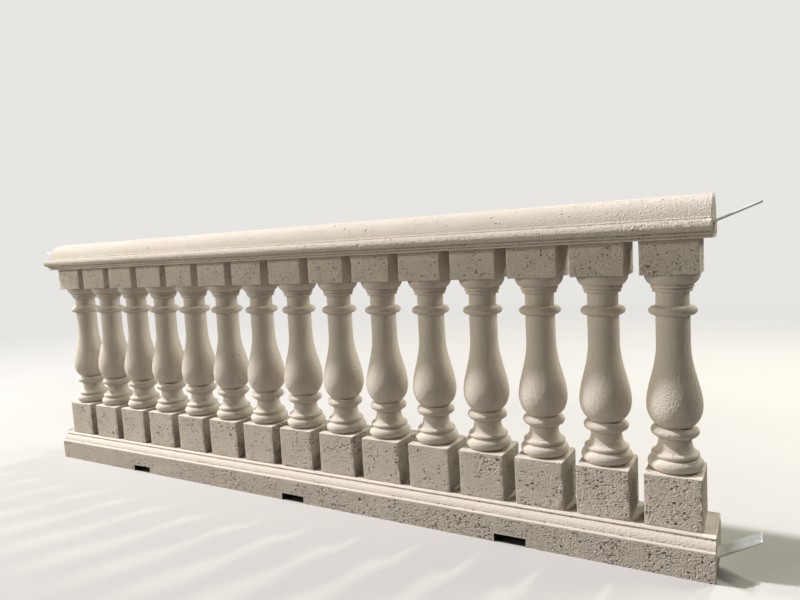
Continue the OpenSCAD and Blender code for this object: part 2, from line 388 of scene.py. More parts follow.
def baluster_stations():
    """Rows (half side, radius, height, roundness, corner radius, coarseness) and their places s."""
    rows = []

    def level(h, z, corner, coarse, r=ECHINUS_R, t=0.0):
        rows.append((h, r, z, t, corner, coarse))

    for h, z in arc(HALF - FOOT_ARRIS, FOOT_ARRIS, FOOT_ARRIS, FOOT_ARRIS, -90, 0, 2):
        level(h, z + SEAT - BASE_H, ARRIS - (HALF - h), 1, BED_R)
    low_rows = np.linspace(FOOT_ARRIS + SEAT - BASE_H, LOW_BLOCK - TOP_ARRIS - LIP, 12)[1:]
    for z in [*low_rows, LOW_BLOCK - TOP_ARRIS]:
        level(HALF, z, ARRIS, 1, BED_R)
    for h, z in arc(HALF - TOP_ARRIS, LOW_BLOCK - TOP_ARRIS, TOP_ARRIS, TOP_ARRIS, 0, 90, 5)[1:]:
        level(h, z, max(ARRIS - (HALF - h), SHARP_ARRIS), 0.8, BED_R)
    for t in (0.06, 0.34, 0.67):
        level(HALF - TOP_ARRIS, LOW_BLOCK, SHARP_ARRIS, 0.6, TORUS_R, t)
    for r, z in turned_line()[:-1]:
        level(HALF - ARRIS, z, SHARP_ARRIS, 0.35, r, 1)
    under = HALF - TIGHT_ARRIS
    for t, coarse in ((1, 0.6), (0.6, 1), (0.25, 1), (0, 1)):
        level(under, BLOCK_Z, ARRIS - TIGHT_ARRIS, coarse, t=t)
    for h, z in arc(under, BLOCK_Z + TIGHT_ARRIS, TIGHT_ARRIS, TIGHT_ARRIS, -90, 0, 2)[1:]:
        level(h, z, ARRIS - (HALF - h), 0.8)
    up_rows = np.linspace(BLOCK_Z + TIGHT_ARRIS, BALUSTER_H - FOOT_ARRIS, 8)[1:]
    for z in [BLOCK_Z + TIGHT_ARRIS + LIP, *up_rows]:
        level(HALF, z, ARRIS, 0.8)
    for h, z in arc(HALF - FOOT_ARRIS, BALUSTER_H - FOOT_ARRIS, FOOT_ARRIS, FOOT_ARRIS, 0, 90, 2)[1:]:
        level(h, z, ARRIS - (HALF - h), 1)
    rows = np.array(rows, float)
    way = outline_of(rows)
    step = np.hypot(*np.diff(way, axis=0).T)
    step = np.maximum(step, np.abs(np.diff(rows[:, 3])) * 26)
    return np.concatenate([[0], np.cumsum(np.maximum(step, 0.05))]), rows


def baluster(number, x0):
    """One baluster about the upright line at x0."""
    rng = np.random.default_rng(700 + number)
    s_at, rows = baluster_stations()
    z_of = rows[:, 2]

    def place(u, s):
        p = (u / GIRTH) % 1.0
        h, r, z, t, c, _ = lerp_table(s_at, rows, np.clip(s, 0, s_at[-1])).T
        sx, sy = square_ring(p, h, c)
        a = p * 2 * math.pi + math.pi / 2
        x = (1 - t) * sx + t * r * np.cos(a)
        y = (1 - t) * sy + t * r * np.sin(a)
        return np.stack([x + x0, y, z + BASE_H], 1)

    sheet = Sheet(place)
    swell, worn, cluster = Waves(rng, 90), Waves(rng, 22), Waves(rng, 70, 9)
    s_low = (s_at[2], s_at[np.searchsorted(z_of, LOW_BLOCK - TOP_ARRIS - 0.01)])
    first_up = np.flatnonzero((rows[:, 3] == 0) & (z_of > BLOCK_Z + TIGHT_ARRIS - 0.1))[0]
    s_up = (s_at[first_up], s_at[np.flatnonzero(z_of < BALUSTER_H - FOOT_ARRIS + 0.1)[-1]])
    turned = np.flatnonzero(rows[:, 3] == 1)

    def s_for(z):
        return float(np.interp(z, z_of[turned], s_at[turned]))

    def from_arris(u):
        return np.abs((u / GIRTH * 4) % 1.0 - 0.5) * GIRTH / 4 - 0.785 * ARRIS

    def off_arris(u, s, r):
        return (from_arris(u) > r + 1.0) & (np.minimum(u % GIRTH, GIRTH - u % GIRTH) > r + 1.0)

    def off_seam(u, s, r):
        return np.minimum(u, GIRTH - u) > 3.2 * r + 2

    def within(ends):
        return lambda u, s, r: off_arris(u, s, r) & (s > ends[0] + r + 2) & (s < ends[1] - r - 1)

    pits = Pits(sheet, rng)
    busy = {15: 2.3, 14: 1.3, 13: 1.1, 12: 1.1}.get(number, rng.uniform(0.75, 1.2))
    whole = (0, GIRTH)
    chip = {"flat": (0.45, 0.6), "deep": (0.25, 0.5)}
    # chips along the upright and level arrises of the blocks
    for _ in range(9):
        u = (rng.integers(0, 4) + 0.5) * GIRTH / 4
        ends = s_low if rng.random() < 0.6 else s_up
        up = (ends[0] + 8, ends[1] - 8)
        pits.scatter(1, (u - 0.6, u + 0.6), up, 2.6, 0.35, 5.0, turn=math.pi / 2, **chip)
    s_rim = (s_low[1] + 1.2, s_low[1] + 4.2)
    pits.scatter(6, whole, s_rim, 2.4, 0.35, 4.5, turn=0.0, allow=off_arris, **chip)
    # wide and small pits on the low and the upper block, then a few on the turned part
    sorts = ((s_low, 26, 4.5, 7.2, 3.0, 110), (s_up, 12, 3.5, 6.0, 2.6, 70))
    for ends, wide, size, most, least, small in sorts:
        where = {"field": cluster, "allow": within(ends)}
        pits.scatter(int(wide * busy), whole, ends, size, 0.25, most, least=least, turn=0.0, **where)
        pits.scatter(int(small * busy), whole, ends, 2.2, 0.25, 3.2, least=1.5, **where)
    for z0, z1, count, size, most in (
        (300, 420, 9, 2.0, 4.6), (420, 575, 8, 1.8, 3.4), (158, 181, 5, 1.5, 2.0), (250, 268, 4, 1.4, 1.8),
        (595, 612, 4, 1.4, 1.8), (624, 650, 3, 1.5, 2.2), (684, 701, 3, 1.5, 2.0), (204, 232, 3, 1.4, 2.0),
    ):
        pits.scatter(count, whole, (s_for(z0), s_for(z1)), size, 0.35, most, allow=off_seam)

    # the plain grid: columns for the blocks and columns for the turned part
    round_end = 1 - FLAT_SHARE
    third = (1 - 2 * FLAT_SHARE) / 3
    corner = np.array([FLAT_SHARE, FLAT_SHARE + third, round_end - third, round_end])
    lip = LIP / (GIRTH / 4)
    quarter = [np.linspace(0, FLAT_SHARE - lip, 6), corner, np.linspace(round_end + lip, 1, 6)[:-1]]
    block_cols = np.concatenate([(k + np.concatenate(quarter)) / 4 for k in range(4)])
    turned_cols = np.arange(72) / 72
    uv = []
    for s, row in zip(s_at, rows):
        cols = turned_cols if row[3] > 0.5 else block_cols
        uv.append(np.column_stack([cols * GIRTH, np.full(len(cols), s)]))
    grid = np.vstack(uv)
    keep = pits.clear(grid) | (grid[:, 0] < 0.01)
    keep[:len(uv[0])] = True
    keep[-len(uv[-1]):] = True
    starts = np.cumsum([0] + [len(r) for r in uv])
    bend = bends(outline_of(rows))
    links = [row_links(starts[j], starts[j + 1]) for j in range(1, len(uv) - 1) if bend[j - 1] > 0.05]
    upright = np.flatnonzero(np.abs(block_cols * 4 % 1 - 0.5) <= 0.5 - FLAT_SHARE + lip + 1e-9)
    for j in range(len(uv) - 1):
        if len(uv[j]) == len(uv[j + 1]) == len(block_cols):
            links.append(np.stack([starts[j] + upright, starts[j + 1] + upright], 1))
    links = held(grid, keep, np.vstack(links), pits)
    grid = grid[keep]
    seam = grid[grid[:, 0] < 0.01]
    rings = np.vstack(pits.rings)
    chart = np.vstack([grid, rings[:, :2], seam + (GIRTH, 0)])
    depth, hollow = (np.concatenate([np.zeros(len(grid)), rings[:, k], np.zeros(len(seam))]) for k in (2, 3))
    faces = triangulate(chart, links)
    u = chart[:, 0].copy()
    u[-len(seam):] = 0.0
    p, _, _, n = sheet.frame(u, chart[:, 1])
    info = lerp_table(s_at, rows, np.clip(chart[:, 1], 0, s_at[-1]))
    blockish = 1 - info[:, 3]
    # arrises and the rim of the low block's top: sunk here as wear, and lightened in the material as a
    # painted highlight
    near = np.clip(1 - from_arris(u) / 1.2, 0, 1) * blockish
    rim = np.exp(-(((chart[:, 1] - (s_low[1] + 2.7)) / 2.6) ** 2)) * (blockish > 0.99)
    edge = np.maximum(near, rim)
    ends = (chart[:, 1] < s_at[1]) | (chart[:, 1] > s_at[-2])
    sink = 0.16 * (1 + swell(p)) * (0.4 + 0.6 * blockish) + edge * 0.45 * np.clip(0.9 + worn(p), 0, 2)
    sink = np.clip(sink, 0, 1.4) * np.where(ends, 0.3, 1)
    co = p - n * (sink + depth)[:, None]
    co[:, 2] = np.clip(co[:, 2], SEAT, CAP_Z)
    # dirt and painted shade in the grooves and creases, as (height, share)
    groove_dirt_and_shade = np.zeros(len(chart))
    for z, share in (
        (LOW_BLOCK, 0.5), (186.5, 0.45), (239.1, 0.6), (243.8, 0.4), (273.4, 0.3), (590, 0.7),
        (617.5, 0.5), (656.6, 1.0), (667.2, 1.0), (677.6, 1.0), (BLOCK_Z, 1.0),
    ):
        groove_dirt_and_shade = np.maximum(groove_dirt_and_shade, share * np.clip(1.6 - np.abs(chart[:, 1] - s_for(z)) / 1.8, 0, 1))
    b = Builder("stone_baluster_%02d" % number)
    flat = np.column_stack([chart[:, 0] / GIRTH * 0.86 + 0.005, chart[:, 1] / s_at[-1] * 0.98 + 0.01])
    b.add(co, faces, flat[faces], hollow, info[:, 5], edge, groove_dirt_and_shade)
    # the two ends, which are hidden in the rails' beds
    for s_end, centre, z in ((0, (0.935, 0.06), SEAT), (s_at[-1], (0.935, 0.2), CAP_Z)):
        ring = np.flatnonzero(np.abs(chart[:len(grid), 1] - s_end) < 1e-6)
        ring = ring[np.argsort(u[ring])]
        local = np.vstack([co[ring], (x0, 0, z)])
        flat = (local[:, :2] - (x0, 0)) / 80 * 0.055 + centre
        tri = fan(len(ring), s_end == 0)
        b.add(local, tri, flat[tri], 0.0, 1.0, 0.0)
    return b.write()


def rail_line(base):
    """Outline of the bottom or the cap rail's section as (y, z), from its first edge to its last."""
    if base:
        roll = HALF + 13.5
        side = points((FACE, 0)) + arc(FACE - 6.5, 80.4, 6.5, 6.9, 0, 95, 7)
        side += points((HALF + 31.6, 86.4)) + bowed((HALF + 31, 87.6), (roll - 1.5, 109.6), 3.8, 7)
        side += points((roll - 1.4, 110.8), (roll, 111.6), (roll, 113.6))
        side += arc(roll - 2.6, 113.9, 2.6, 2.6, 0, 70, 3) + points((HALF + 7, SEAT))
        line = [p * (-1, 1) for p in side] + side[::-1]
    else:
        side = points((HALF + 20, 0), (HALF + 20, 9), (HALF + 29, 9), (HALF + 29, 17.2))
        side += arc(HALF + 31, 33.4, 18.3, 16.2, -90, 90, 14)
        side += points((HALF + 22, 49.6), (HALF + 22, 55.4)) + arc(0, 55.4, HALF + 16.3, 63.6, 0, 90, 14)
        side = [p + (0, CAP_Z) for p in side]
        foot = points((0, CAP_Z))
        line = foot + [p * (-1, 1) for p in side] + side[-2::-1] + foot
    cleaned = [line[0]]
    for p in line[1:]:
        if np.hypot(*(p - cleaned[-1])) > 0.05:
            cleaned.append(p)
    return filled(eased(cleaned, 1.4), 13)


def inside(poly, q):
    """Which points q lie inside a closed outline."""
    hit = np.zeros(len(q), bool)
    for (x0, y0), (x1, y1) in zip(poly, np.roll(poly, -1, 0)):
        if abs(y1 - y0) < 1e-12:
            continue
        across = q[:, 0] < (x1 - x0) * (q[:, 1] - y0) / (y1 - y0) + x0
        hit ^= ((y0 > q[:, 1]) != (y1 > q[:, 1])) & across
    return hit


def flat_patch(outline, rng, step, spot, pits_wanted=0):
    """A flat face inside an outline of chart points, with its own pits: its points, their depth and
    shade, its triangles, their places in the texture, and how near its rim each point is."""
    lo, hi = outline.min(0), outline.max(0)
    gx, gy = np.meshgrid(np.arange(lo[0] + step / 2, hi[0], step), np.arange(lo[1] + step / 2, hi[1], step))
    grid = np.column_stack([gx.ravel(), gy.ravel()])

    def far(q, margin):
        d = np.full(len(q), 1e9)
        for p0, p1 in zip(outline, np.roll(outline, -1, 0)):
            e = p1 - p0
            t = np.clip(((q - p0) @ e) / max(float(e @ e), 1e-9), 0, 1)
            d = np.minimum(d, np.hypot(*(q - p0 - t[:, None] * e).T))
        return inside(outline, q) & (d > margin)

    grid = grid[far(grid, step * 0.4)]
    rings, seats = [], []
    for _ in range(pits_wanted * 3):
        if len(rings) >= pits_wanted:
            break
        c = rng.uniform(lo, hi)
        a = float(np.clip(np.exp(rng.normal(math.log(2.1), 0.35)), 1.3, 5))
        r = a * 1.25 + Pits.MARGIN
        if not far(c[None], r + 1.2)[0] or any(np.hypot(*(c - q)) < r + w for q, w in seats):
            continue
        b = a * rng.uniform(0.5, 0.9)
        rows = hollow_rings(a, b, rng.uniform(0, math.pi), b * rng.uniform(0.7, 1.2), rng)
        rings.append(np.column_stack([rows[:, :2] + c, rows[:, 2:]]))
        seats.append((c, r))
    for c, r in seats:
        grid = grid[np.hypot(*(grid - c).T) > r + 0.5]
    ring = np.vstack(rings) if rings else np.zeros((0, 4))
    chart = np.vstack([outline, grid, ring[:, :2]])
    plain = np.zeros(len(outline) + len(grid))
    depth, shade = (np.concatenate([plain, ring[:, k]]) for k in (2, 3))
    k = np.arange(len(outline))
    faces = triangulate(chart, np.stack([k, np.roll(k, -1)], 1).tolist())
    faces = faces[inside(outline, chart[faces].mean(1))]
    corner, scale = spot
    uv = ((chart - lo) * scale + corner)[faces]
    edge = np.concatenate([np.full(len(outline), 0.8), np.zeros(len(chart) - len(outline))])
    return chart, depth, shade, faces, uv, edge


def rail(base):
    """The bottom rail with its slots, or the cap rail."""
    rng = np.random.default_rng(41 if base else 42)
    line = np.array(rail_line(base))
    s_at = np.concatenate([[0], np.cumsum(np.hypot(*np.diff(line, axis=0).T))])
    total = s_at[-1]
    d = np.gradient(line, s_at, axis=0)
    d /= np.linalg.norm(d, axis=1)[:, None]
    if not base:
        d[0] = d[-1] = np.array([-1.0, 0.0])
    table = np.column_stack([line, -d[:, 1], d[:, 0]])
    ease = 1.6

    def place(x, s):
        y, z, ny, nz = lerp_table(s_at, table, np.clip(s, 0, total)).T
        over = np.clip(np.abs(x) - (END - ease), 0, ease)
        back = ease - np.sqrt(np.maximum(ease**2 - over**2, 0))
        return np.stack([x, y - ny * back, z - nz * back], 1)

    sheet = Sheet(place, 0.4)
    swell, worn, cluster = Waves(rng, 210), Waves(rng, 30), Waves(rng, 95, 9)
    pits = Pits(sheet, rng)
    whole = (-END + 6, END - 6)

    def s_where(y, z):
        return float(s_at[np.argmin((line[:, 0] - y) ** 2 + (line[:, 1] - z) ** 2)])

    # mouths of the slots in the chart: the front ones, then the back ones
    mouths = []
    if base:
        for side in (-1, 1):
            low = s_where(side * FACE, 0)
            mouths += [(c - w - 1.2, c + w + 1.2, low, low - side * (SLOT_H + 1.2)) for c, w in SLOTS]

    def in_mouth(x, s, margin):
        hit = np.zeros(len(x), bool)
        for x0, x1, *ends in mouths:
            across = (x > x0 - margin) & (x < x1 + margin)
            hit |= across & (s > min(ends) - margin) & (s < max(ends) + margin)
        return hit

    def off_slot(x, s, r):
        return (np.abs(x) < END - 4 - r) & ~in_mouth(x, s, r + 2)

    drifts = {"field": cluster, "allow": off_slot}
    if base:
        for side, share in ((-1, 1.0), (1, 0.6)):
            a, c = sorted((s_where(side * FACE, 3), s_where(side * FACE, 78)))
            wide, small = int(300 * share), int(1300 * share)
            pits.scatter(wide, whole, (a + 5, c - 5), 3.5, 0.25, 6.4, least=2.6, turn=0.0, **drifts)
            pits.scatter(small, whole, (a + 3, c - 3), 2.1, 0.25, 3.2, least=1.5, **drifts)
            a, c = sorted((s_where(side * (HALF + 12), 109.5), s_where(side * (HALF + 34), 87.5)))
            pits.scatter(int(90 * share), whole, (a + 7, c - 6), 1.4, 0.2, 1.8, allow=off_slot)
        pits.scatter(160, whole, (s_where(-80, SEAT), s_where(80, SEAT)), 1.9, 0.3, 3.4, **drifts)
    else:
        nose = HALF + 33
        for side, share in ((-1, 1.0), (1, 0.7)):
            a, c = sorted((s_where(side * (HALF + 16), CAP_Z + 60), s_where(0, CAP_Z + CAP_H)))
            pits.scatter(int(430 * share), whole, (a + 9, c), 2.1, 0.4, 4.6, turn=0.0, **drifts)
            a, c = sorted((s_where(side * nose, CAP_Z + 18), s_where(side * nose, CAP_Z + 49)))
            pits.scatter(int(260 * share), whole, (a + 6, c - 8), 1.9, 0.3, 3.4, allow=off_slot, turn=0.0)
        for ends in ((6, s_where(-90, CAP_Z)), (s_where(90, CAP_Z) + 4, total - 6)):
            pits.scatter(60, whole, ends, 2.0, 0.3, 3.4, **drifts)

    core = np.linspace(-END + 6, END - 6, 97)
    lip = END - ease + ease * np.sin(np.radians([0, 35, 65, 90]))
    xs = np.unique(np.round(np.concatenate([-lip, core, lip, [-END + 3.5, END - 3.5]]), 4))
    gx, gs = np.meshgrid(xs, s_at)
    grid = np.column_stack([gx.ravel(), gs.ravel()])
    keep = pits.clear(grid)
    keep |= (np.abs(grid[:, 1]) < 1e-6) | (np.abs(grid[:, 1] - total) < 1e-6)
    keep |= np.abs(grid[:, 0]) > END - 0.001
    keep &= ~in_mouth(*grid.T, 3)
    loops = []
    for x0, x1, sa, sb in mouths:
        up = np.linspace(sa, sb, 5)
        loop = [(x0, v) for v in up] + [(v, sb) for v in np.linspace(x0, x1, 14)[1:-1]]
        loops.append(np.array(loop + [(x1, v) for v in up[::-1]]))
    bend = bends(line)
    wide = len(xs)
    links = [row_links(j * wide, (j + 1) * wide) for j in range(1, len(s_at) - 1) if bend[j - 1] > 0.05]
    edges = held(grid, keep, np.vstack(links), pits)
    grid = grid[keep]
    rings = np.vstack(pits.rings)
    chart = np.vstack([grid, *loops, rings[:, :2]])
    plain = np.zeros(len(chart) - len(rings))
    depth, hollow = (np.concatenate([plain, rings[:, k]]) for k in (2, 3))
    at = len(grid)
    for loop in loops:
        edges += row_links(at, at + len(loop)).tolist()
        at += len(loop)
    faces = triangulate(chart, edges)
    faces = faces[~in_mouth(*chart[faces].mean(1).T, 0)]

    def finish(x, s, depth):
        """Worn places in space of chart points."""
        p, _, _, n = sheet.frame(np.clip(x, -END, END), s)
        near_end = np.clip((END - np.abs(x)) / 5, 0, 1)
        flatness = near_end * np.clip(s / 4, 0, 1) * np.clip((total - s) / 4, 0, 1) if base else near_end
        sink = (0.17 * (1 + swell(p))) * flatness
        q = p - n * (np.clip(sink, 0, 0.6) + depth)[:, None]
        wear = 0.5 * np.clip(0.6 + worn(p), 0, 2) * (1 - near_end)
        q[:, 0] -= np.sign(x) * wear * 0.6
        q[:, 2] = np.clip(q[:, 2], *((0, SEAT) if base else (CAP_Z, CAP_Z + CAP_H)))
        return q

    joined = chart[:, 1].copy()
    if not base:
        joined[np.abs(joined - total) < 1e-6] = 0.0
    co = finish(chart[:, 0], joined, depth)

    # how sharply the section turns outward, in degrees, and from there how strongly its edges are lightened
    # as a painted highlight, with fewer holes and less relief
    seg = np.diff(line, axis=0)
    seg /= np.linalg.norm(seg, axis=1)[:, None]
    angle = np.degrees(np.arccos(np.clip((seg[1:] * seg[:-1]).sum(1), -1, 1)))
    cross = seg[:-1, 0] * seg[1:, 1] - seg[:-1, 1] * seg[1:, 0]
    turn = np.zeros(len(s_at))
    turn[1:-1] = np.where(cross < 0, angle, -angle)
    least, most = (0, 40) if base else (24, 54)
    turn = np.interp(chart[:, 1], s_at, np.convolve(turn, [0.5, 1, 0.5], "same"))
    edge = np.clip((turn - least) / (most - least), 0, 1)
    edge = np.maximum(edge, np.clip(1 - (END - np.abs(chart[:, 0])) / 3, 0, 1))
    out_y = np.abs(lerp_table(s_at, table, np.clip(chart[:, 1], 0, total))[:, 0])
    if base:
        # the lower rim of the slope, widened for the painted highlight
        for side in (-1, 1):
            rim = s_where(side * (FACE - 3), BASE_H - 34.5)
            edge = np.maximum(edge, np.clip(1.5 - np.abs(chart[:, 1] - rim) / 2.6, 0, 1))
        coarse = np.where(out_y > FACE - 0.5, 1.0, 0.5)
        grooves = ((12, BASE_H - 9.8, 2.4, 1.0), (31.4, BASE_H - 33.4, 2.0, 0.8))
    else:
        coarse = np.where(out_y > HALF + 23, 0.70, 0.52)
        grooves = ((22, CAP_Z + 49.8, 2.2, 0.9), (29, CAP_Z + 17.0, 2.0, 0.9), (20, CAP_Z + 9.0, 2.0, 0.9))
    # dirt and painted shade in the rail's grooves
    groove_dirt_and_shade = np.zeros(len(chart))
    for past, z, reach, share in grooves:
        for side in (-1, 1):
            off = np.abs(chart[:, 1] - s_where(side * (HALF + past), z))
            groove_dirt_and_shade = np.maximum(groove_dirt_and_shade, share * np.clip(1.6 - off / reach, 0, 1))
    b = Builder("stone_bottom_rail" if base else "stone_cap_rail")
    # the sheet lies in the texture in four bands
    bands = 4
    middle = chart[faces].mean(1)[:, 0]
    at = np.clip(((middle + END) / (2 * END) * bands).astype(int), 0, bands - 1)[:, None]
    along = (chart[:, 0][faces] + END) / (2 * END) * bands - at
    uu = 0.015 + (at % 2) * 0.5 + along * 0.46
    vv = 0.01 + (at // 2) * 0.42 + chart[:, 1][faces] / total * 0.40
    b.add(co, faces, np.stack([uu, vv], 2), hollow, coarse, edge, groove_dirt_and_shade)

    if base:
        # walls of the slots, painted near black as the shade inside them
        for number, (c, w) in enumerate(SLOTS):
            front, back = (
                finish(loop[:, 0], loop[:, 1], np.zeros(len(loop)))
                for loop in (loops[number], loops[number + len(SLOTS)])
            )
            x, z = np.clip(front[:, 0], c - w, c + w), np.clip(front[:, 2], 0, SLOT_H)
            deep = [front]
            for y in np.linspace(-FACE + 1.4, FACE - 1.4, 9):
                y = np.full(len(x), y)
                rough = 0.5 * np.clip(1 + worn(np.column_stack([x, y, z])), 0, 2)
                rough[[0, -1]] = 0
                out = x + np.sign(x - c) * rough * (np.abs(x - c) > w - 0.1)
                deep.append(np.column_stack([out, y, z + rough * (z > SLOT_H - 0.1)]))
            deep.append(back)
            m, r = len(x), len(deep)
            i = (np.arange(r - 1)[:, None] * m + np.arange(m - 1)).ravel()
            tri = np.stack([i, i + m, i + m + 1, i, i + m + 1, i + 1], 1).reshape(-1, 3)
            flat = np.column_stack([
                0.01 + number * 0.1 + np.tile(np.arange(m) / (m - 1), r) * 0.09,
                0.86 + np.repeat(np.arange(r) / (r - 1), m) * 0.12,
            ])
            b.add(np.vstack(deep), tri, flat[tri], 2.0, 0.8, 0.0)
        # the underside between them, faintly darkened as painted shade
        stops = [-END] + [v for c, w in SLOTS for v in (c - w, c + w)] + [END]
        for k, (x0, x1) in enumerate(zip(stops[::2], stops[1::2])):
            run = np.array([x0] + [v for v in xs if x0 + 1.5 < v < x1 - 1.5] + [x1])
            front = np.column_stack([run, np.full(len(run), -FACE)])
            side_y = np.linspace(-FACE, FACE, 11)[1:-1]
            right, left = (np.column_stack([np.full(9, x), y]) for x, y in ((x1, side_y), (x0, side_y[::-1])))
            outline = np.vstack([front, right, front[::-1] * (1, -1), left])
            spot, _, _, tri, uv, _ = flat_patch(outline, rng, 60, ((0.34 + 0.16 * k, 0.86), 0.15 / 900))
            b.add(np.column_stack([spot, np.zeros(len(spot))]), tri[:, ::-1], uv[:, ::-1], 0.2, 1.0, 0.0)

    # the two end faces
    s_loop = s_at if base else s_at[:-1]
    for side in (-1, 1):
        rim = finish(np.full(len(s_loop), side * END), s_loop, np.zeros(len(s_loop)))
        spot = ((0.70 + 0.15 * (side > 0), 0.86), 0.13 / 260)
        spot, deep, shade, tri, uv, edge = flat_patch(rim[:, 1:], rng, 16, spot, pits_wanted=26)
        x = np.full(len(spot), side * END, float)
        x[:len(rim)] = rim[:, 0]
        rough = 0.3 * np.clip(1 + worn(np.column_stack([x, spot])), 0, 2)
        rough[:len(rim)] = 0
        co = np.column_stack([x - side * (deep + rough), spot])
        area = np.cross(co[tri[:, 1]] - co[tri[:, 0]], co[tri[:, 2]] - co[tri[:, 0]])[:, 0].sum()
        if area * side < 0:
            tri, uv = tri[:, ::-1], uv[:, ::-1]
        b.add(co, tri, uv, shade, 1.0, edge)
    return b.write()


def strap(name, side, z, tilt, length):
    """A flat bar out of a rail end, bent upward just outside the stone, with rolled edges."""
    rng = np.random.default_rng(900 + int(z) + side)
    bend = Waves(rng, 90)
    a = math.radians(tilt)
    half_w, half_t, rolled, buried, tip = 34.0, 2.5, 1.6, 14, 3
    section = []
    for k, (sy, sz) in enumerate(((1, 1), (-1, 1), (-1, -1), (1, -1))):
        corner = (sy * (half_w - rolled), sz * (half_t - rolled))
        section += arc(*corner, rolled, rolled, 90 * k, 90 * k + 90, 3)
    flat = []
    for p, q in zip(section, section[1:] + section[:1]):
        n = max(1, int(np.hypot(*(q - p)) / 9))
        flat += [p + (q - p) * k / n for k in range(n)]
    section = np.array(flat)
    # places along the bar, from inside the stone to its tip
    straight = length - tip
    last = straight + tip * np.sin(np.radians([30, 60, 90]))
    runs = np.concatenate([np.linspace(-buried, 0, 3)[:-1], np.linspace(0, straight, 17), last])
    rows = []
    for t in runs:
        # rounded outer corners and a slightly eased end
        over = max(0.0, t - straight)
        shrink = tip - math.sqrt(max(0.0, tip**2 - over**2))
        y = section[:, 0] * (1 - shrink / half_w)
        thin = 1 - 0.35 * (over / tip) ** 2
        wave = 0.15 * bend(np.column_stack([np.full(len(section), t), y, np.zeros(len(section))]))
        w = section[:, 1] * thin - np.abs(wave) * np.sign(section[:, 1]) * 0.5
        x = END + t * math.cos(a) - w * math.sin(a)
        if t < 0:
            x = np.full(len(section), END + t)
        rows.append(np.column_stack([side * x, y, z + t * math.sin(a) * (t > 0) + w * math.cos(a)]))
    co = np.vstack(rows)
    m, r = len(section), len(rows)
    first = np.arange(r - 1)[:, None] * m
    i, k = (first + np.arange(m)).ravel(), (first + np.roll(np.arange(m), -1)).ravel()
    tri = np.stack([i, k + m, i + m, i, k, k + m], 1).reshape(-1, 3)
    along = np.repeat(runs + buried, m) / 160
    uv = np.column_stack([along, np.tile(np.arange(m) / m, r) * 0.9 + 0.01])[tri]
    wrap = uv[:, :, 1].max(1) - uv[:, :, 1].min(1) > 0.5
    uv[wrap] = np.where(uv[wrap] < 0.3, uv[wrap] + (0, 0.9), uv[wrap])
    if side > 0:
        tri, uv = tri[:, ::-1], uv[:, ::-1]
    b = Builder(name)
    b.add(co, tri, uv, 0.0, 0.0, 0.0)
    for row, flip in ((0, side < 0), (r - 1, side > 0)):
        ring = co[row * m:(row + 1) * m]
        local = np.vstack([ring, ring.mean(0)])
        tri = fan(m, flip)
        spot = np.column_stack([
            (local[:, 1] + 40) / 800 + (0.4 if row else 0.0) + 0.01,
            (local[:, 2] - local[:, 2].mean()) / 800 + 0.96,
        ])
        b.add(local, tri, spot[tri], 0.0, 0.0, 0.0)
    return b.write(50)


def nodes_of(name):
    """A new material with a plain shader, the tree of its nodes, and the shader."""
    mat = bpy.data.materials.new(name)
    mat.use_nodes = True
    nt = mat.node_tree
    nt.nodes.clear()
    out = nt.nodes.new("ShaderNodeOutputMaterial")
    sh = nt.nodes.new("ShaderNodeBsdfPrincipled")
    nt.links.new(sh.outputs[0], out.inputs[0])
    return mat, Tree(nt), sh


class Tree:
    """Short ways to add and join shader nodes."""

    def __init__(self, nt):
        self.nt = nt
        self.coord = nt.nodes.new("ShaderNodeTexCoord").outputs["Object"]

    def put(self, socket, value):
        if isinstance(value, bpy.types.NodeSocket):
            self.nt.links.new(value, socket)
        elif value is not None:
            socket.default_value = value

    def node(self, kind, **inputs):
        """A new node with the named inputs set or joined."""
        n = self.nt.nodes.new("ShaderNode" + kind)
        for name, value in inputs.items():
            self.put(n.inputs[name], value)
        return n

    def attribute(self, name):
        n = self.node("Attribute")
        n.attribute_name = name
        return n.outputs["Fac"]

    def noise(self, scale, detail=3.0, rough=0.55, warp=0.0, vector=None):
        how = {"Scale": scale, "Detail": detail, "Roughness": rough, "Distortion": warp}
        return self.node("TexNoise", Vector=vector or self.coord, **how).outputs["Fac"]

    def tint(self, scale):
        """A coloured noise, whose three values bend places in space."""
        return self.node("TexNoise", Vector=self.coord, Scale=scale, Detail=1.0).outputs["Color"]

    def cells(self, scale, vector=None):
        return self.node("TexVoronoi", Vector=vector or self.coord, Scale=scale)

    def pocks(self, scale, share, reach, vector):
        """Depth and dark core of separate hollows, at most one in a cell, in about that share of the
        cells and of different sizes. The dark core is painted shade."""
        n = self.cells(scale, vector)
        pick = self.node("SeparateColor", Color=n.outputs["Color"])
        size = self.span(self.math("ADD", pick.outputs[0], share), 1.0, 1.5, 0.0, reach, "LINEAR")
        near = self.math("SUBTRACT", size, n.outputs["Distance"])
        return self.span(near, -0.04, 0.24), self.span(near, 0.04, 0.22)

    def fed(self, n, *values):
        """A node with its first inputs set or joined."""
        for socket, value in zip(n.inputs, values):
            self.put(socket, value)
        return n.outputs[0]

    def vector(self, op, a, b):
        n = self.node("VectorMath")
        n.operation = op
        return self.fed(n, a, b)

    def math(self, op, a, b=None, c=None):
        n = self.node("Math")
        n.operation = op
        return self.fed(n, a, b, c)

    def times(self, a, b):
        return self.math("MULTIPLY", a, b)

    def span(self, value, a, b, c=0.0, d=1.0, kind="SMOOTHSTEP"):
        n = self.node("MapRange")
        n.interpolation_type = kind
        return self.fed(n, value, a, b, c, d)

    def mix(self, fac, a, b, blend="MIX"):
        n = self.node("Mix")
        n.data_type = "RGBA"
        n.blend_type = blend
        for k, value in ((0, fac), (6, a), (7, b)):
            self.put(n.inputs[k], value)
        return n.outputs[2]

    def bump(self, height, distance, strength):
        return self.node("Bump", Distance=distance, Strength=strength, Height=height).outputs[0]


